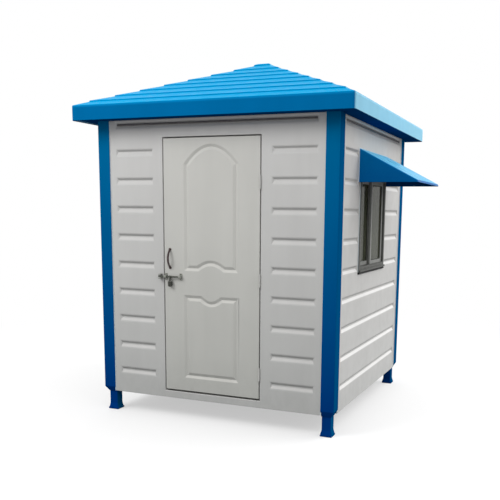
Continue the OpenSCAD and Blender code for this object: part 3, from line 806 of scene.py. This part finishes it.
def dress(obj: Piece, finish: Finishes, body: Body, nodes: Sequence[str] = ()) -> None:
    """Gives a piece its finish and its body, and hides the CAD nodes that it stands for.

    Args:
        obj: the piece.
        finish: its finish.
        body: the body that it rides on.
        nodes: the CAD nodes that it replaces.
    """
    obj.data.materials.clear()
    obj.data.materials.append(finish.material())
    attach(obj, body.value)
    if nodes:
        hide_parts(*nodes)
    LOG.info("%s: %d faces", obj.name, len(obj.data.polygons))


def moulded(name: str, node: str, finish: Finishes, radius: float, body: Body = Body.BOOTH,
            levels: Sequence[float] = (), weld: float = WELD, **rounding: object) -> Piece:
    """Copies a CAD node with its loose triangles merged, rounds its edges and dresses it in the node's place.

    Args:
        name: the piece's name.
        node: the CAD node that it replaces.
        finish: its finish.
        radius: radius of the rounding in metres.
        body: the body that it rides on.
        levels: heights at which flat faces stay cut, for panels with openings.
        weld: distance in metres within which points become one.
        **rounding: further choices for soften.

    Returns:
        The piece.
    """
    mesh = bmesh.new()
    mesh.from_mesh(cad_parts[node].data)
    tidy_flats(mesh, levels, weld)
    piece = as_object(name, mesh)
    soften(piece, radius, **rounding)
    dress(piece, finish, body, [node])
    return piece


def paint(finish: Finishes, *nodes: str) -> None:
    """Gives CAD nodes that stay in view their finish.

    Args:
        finish: the finish.
        *nodes: the CAD nodes.
    """
    for node in nodes:
        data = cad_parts[node].data
        data.materials.clear()
        data.materials.append(finish.material())
        LOG.info("%s: painted", node)


@dataclass
class Assembly:
    """A sub-assembly, with the trees that lay its beads and set its screws."""

    beads: BeadTree
    screws: ScrewTree


@dataclass
class Walls(Assembly):
    """Wall panels, floor and stop boards, with sealant at the posts and a dark strip of painted shade in the
    top groove.
    """

    edge: float = 3.5 * MM
    rim_edge: float = 8 * MM
    window_rim_edge: float = 5.5 * MM
    board_edge: float = 2 * MM
    bead: float = 4.5 * MM
    # Radius of the dark bead of painted shade in the top groove
    strip: float = 6 * MM
    groove_depth: float = 12 * MM
    groove_inset: float = 64 * MM
    lowest_groove: float = 325 * MM
    groove_pitch: float = 198 * MM
    groove_rows: int = 9
    top_groove: float = 2097 * MM

    def build(self) -> None:
        """Builds the softened panels, the sealant and the dark strip of painted shade."""
        levels = [self.lowest_groove + row * self.groove_pitch for row in range(self.groove_rows)]
        levels.append(self.top_groove)
        front_nodes = ["front_wall_left", "front_wall_head", "front_wall_right", "door_sill"]
        front = fused_copy("front_wall", front_nodes, levels)
        soften(front, self.edge, broad=self.rim_edge, clamp=False)
        dress(front, Finishes.WALL, Body.BOOTH, front_nodes)
        for node in ("left_wall", "right_wall", "back_wall"):
            rim = self.window_rim_edge if node == "right_wall" else self.rim_edge
            moulded(node + "_panel", node, Finishes.SIDE, self.edge, levels=levels, broad=rim, clamp=False)
        for node in ("door_stop_jambs", "door_stop_head"):
            moulded(node + "_board", node, Finishes.DOOR, self.board_edge)
        paint(Finishes.BOARD, "floor_panel")
        self.beads.lay("wall_sealant", self.joints(), self.bead, Finishes.SEALANT)
        # The strip in the top groove is a dark bead that stands for the shade there: painted shade
        self.beads.lay("top_groove_strip", self.strip_paths(), self.strip, Finishes.STRIP)

    def strip_paths(self) -> list[list[Point]]:
        """Finds the dark strip of painted shade that lies in the top groove of each wall.

        Returns:
            The two ends of the strip in each wall.
        """
        low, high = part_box("left_wall")[0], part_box("right_wall")[1]
        front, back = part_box("front_wall_left")[0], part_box("back_wall")[1]
        deep = self.groove_depth - self.strip
        inset, z = self.groove_inset, self.top_groove
        paths = [[(x, y, z) for x in (front.x + inset, back.x - inset)]
                 for y in (front.y + deep, back.y - deep)]
        paths += [[(x, y, z) for y in (low.y + inset, high.y - inset)]
                  for x in (low.x + deep, high.x - deep)]
        return paths

    def joints(self) -> list[list[Point]]:
        """Finds the corners between wall faces and posts.

        Returns:
            The lower and the upper end of each corner.
        """
        low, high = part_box("back_wall")
        left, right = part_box("left_wall")[0].x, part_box("right_wall")[1].x
        front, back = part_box("front_wall_left")[0].y, high.y
        side_low, side_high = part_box("left_wall")
        feet = [(low.x, front), (high.x, front), (low.x, back), (high.x, back)]
        feet += [(left, side_low.y), (left, side_high.y), (right, side_low.y), (right, side_high.y)]
        return [[(x, y, low.z + self.edge), (x, y, high.z - self.edge)] for x, y in feet]


@dataclass
class Posts(Assembly):
    """Corner posts and the flared legs under them."""

    post_edge: float = 3 * MM
    post_angle: float = 24.0
    leg_edge: float = 4 * MM

    def build(self) -> None:
        """Builds the softened posts and legs."""
        for corner in ("front_left", "front_right", "back_left", "back_right"):
            moulded(f"corner_post_{corner}", f"post_{corner}", Finishes.POST, self.post_edge,
                    angle=self.post_angle)
            moulded(f"flared_leg_{corner}", f"leg_{corner}", Finishes.POST, self.leg_edge)


@dataclass
class Roof(Assembly):
    """The moulded roof: lapped slopes, cap, fascia and soffit in one skin."""

    edge: float = 3 * MM
    angle: float = 16.0
    corner: float = 24 * MM
    corner_slack: float = 0.1 * MM
    corner_steps: int = 6
    nose_foot: float = 2214 * MM
    nose_rise: float = 1.75
    nose_depth: float = 8 * MM
    upright: float = 0.5
    downward: float = -0.45

    def build(self) -> None:
        """Builds the roof as one softened moulding in lit and shaded copies of one blue, chosen by the way
        its faces look.
        """
        sides = ("front", "right", "back", "left")
        nodes = [f"roof_{side}" for side in sides] + ["roof_cap"] + [f"eave_{side}" for side in sides]
        roof = fused_copy("moulded_roof", nodes)
        self.even_corners(roof)
        soften(roof, self.edge, self.angle, clamp=False)
        dress(roof, Finishes.ROOF, Body.BOOTH, nodes)
        for finish in (Finishes.FASCIA, Finishes.SOFFIT):
            roof.data.materials.append(finish.material())
        # Painted light and shade: upward faces take the lighter roof blue, steep faces the darker fascia blue
        # and downward faces the dark soffit blue
        for face in roof.data.polygons:
            face.material_index = int(face.normal.z < self.upright) + int(face.normal.z < self.downward)

    def even_corners(self, roof: Piece) -> None:
        """Brings the points round each eave corner to even steps, so that the edges there have room.

        Args:
            roof: the joined roof.
        """
        low = Vector((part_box("eave_left")[0].x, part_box("eave_front")[0].y, 0.0))
        high = Vector((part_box("eave_right")[1].x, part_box("eave_back")[1].y, 0.0))
        middle = (low + high) / 2
        half = (high - low) / 2
        step = math.pi / 2 / self.corner_steps
        mesh = bmesh.new()
        mesh.from_mesh(roof.data)
        for vert in mesh.verts:
            away = vert.co - middle
            x = abs(away.x) - half.x + self.corner
            y = abs(away.y) - half.y + self.corner
            if min(x, y) < -WELD or abs(math.hypot(x, y) - self.corner) > self.corner_slack:
                continue
            turn = round(math.atan2(y, x) / step)
            x, y = self.corner * math.cos(turn * step), self.corner * math.sin(turn * step)
            if turn == self.corner_steps / 2 and vert.co.z > self.nose_foot + WELD:
                x = y = self.corner - self.nose_depth
            vert.co.x = middle.x + math.copysign(half.x - self.corner + x, away.x)
            vert.co.y = middle.y + math.copysign(half.y - self.corner + y, away.y)
            if vert.co.z > self.nose_foot + WELD:
                vert.co.z = self.nose_foot + self.nose_rise * (self.corner - max(x, y))
        tidy_flats(mesh, [middle.x], axis=RIGHT)
        bmesh.ops.dissolve_degenerate(mesh, dist=WELD, edges=mesh.edges)
        mesh.to_mesh(roof.data)
        mesh.free()


@dataclass
class Door(Assembly):
    """Door leaf with its seal, handle, hinges and bolt guides."""

    moulding_edge: float = 6 * MM
    moulding_angle: float = 14.0
    moulding_steps: int = 4
    weld: float = 4 * MM
    handle_edge: float = 1.2 * MM
    guide_edge: float = 1 * MM
    keeper_edge: float = 1.5 * MM
    seal_radius: float = 4 * MM
    seal_inset: float = 6 * MM
    screw: float = 3.4 * MM
    screw_from_end: float = 6.5 * MM
    plate_thickness: float = 4 * MM
    half_plate: float = 10 * MM

    def build(self) -> None:
        """Builds the leaf, its fittings, the seal on the stops and the screws of the guides."""
        moulded("panelled_door", "door_leaf", Finishes.DOOR, self.moulding_edge, Body.DOOR,
                weld=self.weld, angle=self.moulding_angle, steps=self.moulding_steps)
        moulded("bowed_handle", "pull_handle", Finishes.BROWN, self.handle_edge, Body.DOOR,
                angle=FITTING_ANGLE)
        moulded("bolt_guide_pair", "bolt_guides", Finishes.PLATE, self.guide_edge, Body.DOOR,
                [half_height("bolt_guides")], angle=FITTING_ANGLE)
        moulded("bolt_keeper_lips", "bolt_keeper", Finishes.PLATE, self.keeper_edge)
        paint(Finishes.HINGE, "door_hinge_fixed", "door_hinge_moving")
        self.beads.lay("door_seal", [self.seal_path()], self.seal_radius, Finishes.RUBBER)
        self.screws.set_on("guide_screws", self.guide_screws(), FRONT, self.screw, Body.DOOR)

    def seal_path(self) -> list[Point]:
        """Finds the seal's way up one jamb, across the head and down the other jamb.

        Returns:
            Its ends and corners.
        """
        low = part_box("door_stop_jambs")[0]
        leaf_low, leaf_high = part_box("door_leaf")
        y = low.y - self.seal_radius / 2
        top = leaf_high.z - self.seal_inset
        left, right = leaf_low.x + self.seal_inset, leaf_high.x - self.seal_inset
        return [(left, y, low.z), (left, y, top), (right, y, top), (right, y, low.z)]

    def guide_screws(self) -> list[Point]:
        """Finds the places of two screws on each guide plate.

        Returns:
            The places.
        """
        low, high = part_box("bolt_guides")
        xs = (low.x + self.half_plate, high.x - self.half_plate)
        heights = (low.z + self.screw_from_end, high.z - self.screw_from_end)
        return [(x, high.y - self.plate_thickness, z) for x in xs for z in heights]


@dataclass
class BoltAndPadlock(Assembly):
    """Slide bolt and the padlock that hangs from its lug."""

    bolt_edge: float = 1 * MM
    lock_edge: float = 2.2 * MM
    shackle_edge: float = 0.4 * MM
    key_plug: float = 4 * MM

    def build(self) -> None:
        """Builds the bolt, the padlock and its key plug."""
        for node, finish, radius in (("slide_bolt", Finishes.BOLT, self.bolt_edge),
                                     ("padlock_body", Finishes.LOCK, self.lock_edge),
                                     ("padlock_shackle", Finishes.STEEL, self.shackle_edge)):
            moulded(node + "_soft", node, finish, radius, Body.BOLT, angle=FITTING_ANGLE, clamp=False)
        low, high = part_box("padlock_body")
        middle = (low + high) / 2
        self.screws.set_on("padlock_key_plug", [(middle.x, middle.y, low.z)], DOWN, self.key_plug, Body.BOLT)


@dataclass
class Window(Assembly):
    """Sliding window: frame, two sashes, panes and their gaskets."""

    edge: float = 1.5 * MM
    gasket: float = 3 * MM
    gasket_inset: float = 8 * MM
    sealant: float = 4 * MM
    # Radius of the black bead of painted shadow under the sill
    strip: float = 9 * MM
    proud: float = 10 * MM
    screw: float = 4 * MM
    screw_inset: float = 15 * MM
    screw_from_end: float = 60 * MM
    top_screw: float = 0.85

    def build(self) -> None:
        """Builds the softened sections, gaskets, sealant, a black strip of painted shadow under the sill, and
        frame screws.
        """
        for node in ("window_frame", "window_sash_front", "window_sash_rear"):
            finish = Finishes.FRAME if node == "window_frame" else Finishes.SASH
            moulded(node + "_section", node, finish, self.edge, levels=[half_height(node)])
        paint(Finishes.GLASS, *PANES)
        self.beads.lay("pane_gaskets", self.gasket_paths(), self.gasket, Finishes.RUBBER, closed=True)
        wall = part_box("right_wall")[1].x
        low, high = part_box("window_frame")
        rim = upright_ring(wall, low, high)
        self.beads.lay("window_sealant", [rim], self.sealant, Finishes.SEALANT, closed=True)
        # A black bead under the sill that stands for the sill's shadow: painted shadow
        sill_shadow_path = [(wall + self.strip / 2, y, low.z - self.strip) for y in (low.y, high.y)]
        self.beads.lay("sill_drip_strip", [sill_shadow_path], self.strip, Finishes.RUBBER)
        self.screws.set_on("frame_screws", self.screw_places(), RIGHT, self.screw, Body.BOOTH)

    def screw_places(self) -> list[Point]:
        """Finds the places of three screws on each upright bar of the frame.

        Returns:
            The places.
        """
        low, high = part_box("window_frame")
        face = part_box("right_wall")[1].x + self.proud
        top = low.z + self.top_screw * (high.z - low.z)
        heights = (low.z + self.screw_from_end, (low.z + high.z) / 2, top)
        return [(face, y, z) for y in (low.y + self.screw_inset, high.y - self.screw_inset) for z in heights]

    def gasket_paths(self) -> list[list[Point]]:
        """Finds the rim of each pane on both of its sides.

        Returns:
            The four corners of each rim.
        """
        hold = Vector((0.0, self.gasket_inset, self.gasket_inset))
        paths = []
        for node in PANES:
            low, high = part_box(node)
            paths += [upright_ring(x, low + hold, high - hold) for x in (low.x, high.x)]
        return paths


@dataclass
class Awning(Assembly):
    """Moulded hood over the window."""

    edge: float = 1.5 * MM
    outer_edge: float = 10 * MM
    steps: int = 4
    turned_in: float = 0.45
    sealant: float = 4 * MM

    def build(self) -> None:
        """Builds the softened hood, darker inside as painted shade, and the sealant along the wall."""
        hood = moulded("awning_hood", "awning", Finishes.AWNING, self.edge, steps=self.steps,
                       broad=self.outer_edge, outer=self.is_outer, inner=False)
        hood.data.materials.append(Finishes.SOFFIT.material())
        low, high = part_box("awning")
        middle = (low + high) / 2
        # Painted shade: faces that look inwards, down or at the wall take the dark soffit finish
        for face in hood.data.polygons:
            inward = face.normal.y * math.copysign(1.0, middle.y - face.center.y)
            face.material_index = int(max(inward, -face.normal.z, -face.normal.x) > self.turned_in)
        x = low.x
        path = [(x, low.y, low.z), (x, low.y, high.z), (x, high.y, high.z), (x, high.y, low.z)]
        self.beads.lay("awning_sealant", [path], self.sealant, Finishes.SEALANT)

    @staticmethod
    def is_outer(edge: Edge) -> bool:
        """Tells whether an edge is on the outside of the hood's cheeks.

        Args:
            edge: an edge of the hood.

        Returns:
            True off the wall and off the open underside.
        """
        low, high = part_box("awning")
        ends = [vert.co for vert in edge.verts]
        on_sides = all(min(end.y - low.y, high.y - end.y) < MM for end in ends)
        at_wall = all(end.x - low.x < MM for end in ends)
        at_underside = all(end.z - low.z < MM for end in ends)
        return on_sides and not at_wall and not at_underside


@dataclass
class Studio:
    """Floor, light and the camera of the photograph."""

    floor_size: float = 60.0
    floor_colour: Colour = (0.88, 0.88, 0.88)
    floor_bounce: Colour = (0.30, 0.30, 0.30)
    floor_roughness: float = 0.9
    white_span: Span = (2.4, 5.0)
    white_share: float = 0.5
    bright_side: Point = (0.70, 0.45, 0.55)
    bright: float = 1.45
    dark: float = 0.15
    lamp_size: float = 4.0
    aim: Point = (0.0, 0.0, 1.2)
    key_place: Point = (-3.5, -5.5, 6.0)
    key_power: float = 290.0
    fill_place: Point = (4.2, 2.2, 4.8)
    fill_power: float = 130.0
    eye: Point = (2.16584, -5.30289, 1.49412)
    yaw: float = 0.3806
    pitch: float = 0.16217
    roll: float = 0.01304
    sensor: float = 36.0
    lens: float = 51.104
    shift: Span = (-0.0676, 0.1589)

    def build(self) -> None:
        """Builds the stage and sets the camera and the view transform."""
        self.floor()
        self.world()
        self.lamp("soft_key", self.key_place, self.key_power)
        self.lamp("rear_fill", self.fill_place, self.fill_power)
        self.camera()
        bpy.context.scene.view_settings.view_transform = "Standard"

    def floor(self) -> None:
        """Lays a pale floor that is white to the camera and darker as a bounce light."""
        half = self.floor_size / 2.0
        mesh = bmesh.new()
        corners = [mesh.verts.new((x * half, y * half, 0.0)) for x, y in ((-1, -1), (1, -1), (1, 1), (-1, 1))]
        mesh.faces.new(corners)
        floor = as_object("studio_floor", mesh)
        graph = ShaderGraph("studio_floor")
        seen = self.seen(graph)
        colour = graph.mix(seen, self.floor_bounce, self.floor_colour)
        graph.set(base_color=colour, roughness=self.floor_roughness, specular_ior_level=0.0)
        distance = graph.add("ShaderNodeVectorMath", graph.place, operation="LENGTH").outputs["Value"]
        far = graph.ramp(distance, self.white_span, (self.white_share, 1.0))
        white = graph.add("ShaderNodeEmission").outputs[0]
        both = graph.add("ShaderNodeMixShader", graph.times(far, seen), graph.shader.outputs[0], white)
        graph.give(graph.tree.nodes["Material Output"].inputs["Surface"], both.outputs[0])
        floor.data.materials.append(graph.material)

    @staticmethod
    def seen(graph: NodeGraph) -> Socket:
        """Adds a value that is 1 where the camera, a mirror or glass looks at the surface.

        Args:
            graph: the nodes of the world or a material.

        Returns:
            The value.
        """
        path = graph.add("ShaderNodeLightPath")
        value = path.outputs["Is Camera Ray"]
        for ray in ("Is Glossy Ray", "Is Transmission Ray"):
            value = graph.add("ShaderNodeMath", value, path.outputs[ray], operation="MAXIMUM").outputs[0]
        return value

    def world(self) -> None:
        """Makes a soft dome that is brightest at the right and rear, and plain white where it is seen."""
        world = bpy.data.worlds.new("studio")
        world.use_nodes = True
        bpy.context.scene.world = world
        graph = NodeGraph(world.node_tree)
        graph.tree.nodes.clear()
        place = graph.add("ShaderNodeTexCoord").outputs["Generated"]
        side = Vector(self.bright_side).normalized()
        toward = graph.add("ShaderNodeVectorMath", place, side, operation="DOT_PRODUCT").outputs["Value"]
        level = graph.add("ShaderNodeMapRange", toward, -1.0, 1.0, self.dark, self.bright)
        white = (1.0, 1.0, 1.0, 1.0)
        dome = graph.add("ShaderNodeBackground", white, level.outputs[0])
        plain = graph.add("ShaderNodeBackground", white)
        both = graph.add("ShaderNodeMixShader", self.seen(graph), dome.outputs[0], plain.outputs[0])
        graph.add("ShaderNodeOutputWorld", both.outputs[0])

    def lamp(self, name: str, place: Point, power: float) -> None:
        """Hangs a large soft lamp that is aimed at the booth and out of sight itself.

        Args:
            name: the lamp's name.
            place: where it hangs, in metres.
            power: its power in watts.
        """
        light = bpy.data.lights.new(name, "AREA")
        light.shape = "DISK"
        light.size = self.lamp_size
        light.energy = power
        lamp = placed(name, light)
        lamp.location = place
        ahead = Vector(self.aim) - lamp.location
        lamp.rotation_euler = ahead.to_track_quat("-Z", "Y").to_euler()
        lamp.visible_camera = False
        lamp.visible_glossy = False

    def camera(self) -> None:
        """Sets the camera where the photograph was taken from."""
        data = bpy.data.cameras.new("photo_camera")
        data.sensor_width = self.sensor
        data.lens = self.lens
        data.shift_x, data.shift_y = self.shift
        camera = placed("photo_camera", data)
        turn = Matrix.Rotation(self.yaw, 4, "Z") @ Matrix.Rotation(math.pi / 2 - self.pitch, 4, "X")
        camera.matrix_world = Matrix.Translation(self.eye) @ turn @ Matrix.Rotation(self.roll, 4, "Z")
        bpy.context.scene.camera = camera


def main() -> None:
    """Builds the booth's looks in order."""
    logging.basicConfig(level=logging.INFO, format="%(name)s %(message)s")
    trees = BeadTree(), ScrewTree()
    for assembly in (Walls, Posts, Roof, Door, BoltAndPadlock, Window, Awning):
        assembly(*trees).build()
    Studio().build()


if __name__ == "__main__":
    main()
